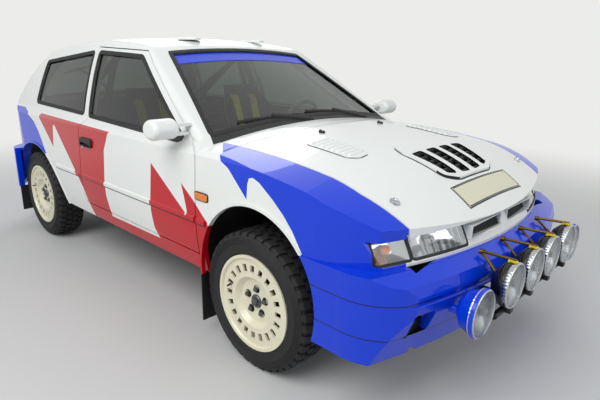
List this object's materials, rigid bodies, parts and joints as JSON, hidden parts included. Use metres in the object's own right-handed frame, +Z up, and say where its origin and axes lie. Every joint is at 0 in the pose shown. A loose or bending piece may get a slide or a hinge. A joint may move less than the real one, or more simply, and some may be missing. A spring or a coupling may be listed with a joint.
{
  "type": "rally car",
  "caption": "Small three-door hatchback prepared for rallying, with opening doors, bonnet and tailgate, steered front wheels, roll cage, bucket seats and extra lamps in front.",
  "frame": {"origin": "on the ground under the middle of the car's length and width", "axes": "+X points forward, +Y to the car's left, +Z up"},
  "size_m": [4.074, 1.92, 1.4612],
  "materials": {
    "white_paint": "gloss",
    "blue_paint": "gloss",
    "black_paint": "satin",
    "glass": "gloss",
    "lamp_glass": "gloss",
    "black_plastic": "matte",
    "red_lens": "gloss",
    "steel": "satin",
    "iron": "matte",
    "aluminium": "satin",
    "cream_paint": "satin",
    "tyre": "matte",
    "rubber": "matte",
    "gold": "satin",
    "seat_cloth": "matte"
  },
  "bodies": {
    "body": {"roof": "white_paint", "side_frame_right": "white_paint", "side_frame_left": "white_paint", "rear_panel": "white_paint", "wing_right": "white_paint", "wing_left": "white_paint", "nose_panel": "white_paint", "roof_vents": "white_paint", "front_bumper": "blue_paint", "rear_bumper": "blue_paint", "low_lamps": "blue_paint", "bulkhead": "black_paint", "floor_pan": "black_paint", "wheel_houses": "black_paint", "front_frame": "black_paint", "lamp_bracket": "black_paint", "roll_cage": "black_paint", "windscreen": "glass", "quarter_windows": "glass", "headlamps": "lamp_glass", "lamp_lenses": "lamp_glass", "grille_mesh": "black_plastic", "spot_lamps": "black_plastic", "dashboard": "black_plastic", "tail_lamps": "red_lens", "front_suspension": "steel", "rear_suspension": "steel", "exhaust": "steel", "engine_block": "iron", "radiator": "aluminium", "sump_guard": "aluminium", "mud_flaps": "rubber", "wipers": "rubber", "lamp_struts": "gold", "seats": "seat_cloth"},
    "door_right": {"door_right": "white_paint", "door_glass_right": "glass", "mirror_right": "white_paint", "door_handle_right": "black_plastic"},
    "door_left": {"door_left": "white_paint", "door_glass_left": "glass", "mirror_left": "white_paint", "door_handle_left": "black_plastic"},
    "bonnet": {"bonnet": "white_paint", "bonnet_vents": "white_paint", "vent_blades": "black_plastic"},
    "tailgate": {"tailgate": "white_paint", "tailgate_glass": "glass"},
    "knuckle_right": {"knuckle_right": "iron"},
    "knuckle_left": {"knuckle_left": "iron"},
    "wheel_front_right": {"rim_front_right": "cream_paint", "tyre_front_right": "tyre"},
    "wheel_front_left": {"rim_front_left": "cream_paint", "tyre_front_left": "tyre"},
    "wheel_rear_right": {"rim_rear_right": "cream_paint", "tyre_rear_right": "tyre"},
    "wheel_rear_left": {"rim_rear_left": "cream_paint", "tyre_rear_left": "tyre"},
    "steering_wheel": {"steering_wheel": "black_plastic"}
  },
  "joints": [
    {"name": "door_right_hinge", "type": "hinge", "parent": "body", "child": "door_right", "pos_m": [0.742, -0.846, 0.7], "axis": [0, 0, 1], "range_deg": [0, 65]},
    {"name": "door_left_hinge", "type": "hinge", "parent": "body", "child": "door_left", "pos_m": [0.742, 0.846, 0.7], "axis": [0, 0, -1], "range_deg": [0, 65]},
    {"name": "bonnet_hinge", "type": "hinge", "parent": "body", "child": "bonnet", "pos_m": [0.748, 0, 1.016], "axis": [0, -1, 0], "range_deg": [0, 60]},
    {"name": "tailgate_hinge", "type": "hinge", "parent": "body", "child": "tailgate", "pos_m": [-1.338, 0, 1.41], "axis": [0, 1, 0], "range_deg": [0, 75]},
    {"name": "steer_right", "type": "hinge", "parent": "body", "child": "knuckle_right", "pos_m": [1.125, -0.715, 0.32], "axis": [0, 0, 1], "range_deg": [-30, 30]},
    {"name": "steer_left", "type": "hinge", "parent": "body", "child": "knuckle_left", "pos_m": [1.125, 0.715, 0.32], "axis": [0, 0, 1], "range_deg": [-30, 30]},
    {"name": "steering_wheel_turn", "type": "hinge", "parent": "body", "child": "steering_wheel", "pos_m": [0.255, 0.36, 0.905], "axis": [-0.9272, 0, 0.3746], "range_deg": [-455, 455]},
    {"name": "spin_front_right", "type": "hinge", "parent": "knuckle_right", "child": "wheel_front_right", "pos_m": [1.125, -0.735, 0.32], "axis": [0, 1, 0], "continuous": true},
    {"name": "spin_front_left", "type": "hinge", "parent": "knuckle_left", "child": "wheel_front_left", "pos_m": [1.125, 0.735, 0.32], "axis": [0, 1, 0], "continuous": true},
    {"name": "spin_rear_right", "type": "hinge", "parent": "body", "child": "wheel_rear_right", "pos_m": [-1.305, -0.725, 0.32], "axis": [0, 1, 0], "continuous": true},
    {"name": "spin_rear_left", "type": "hinge", "parent": "body", "child": "wheel_rear_left", "pos_m": [-1.305, 0.725, 0.32], "axis": [0, 1, 0], "continuous": true}
  ],
  "couplings": [
    {"joint": "steer_left", "follows": "steer_right", "ratio": 1},
    {"joint": "steering_wheel_turn", "follows": "steer_right", "ratio": 15}
  ]
}
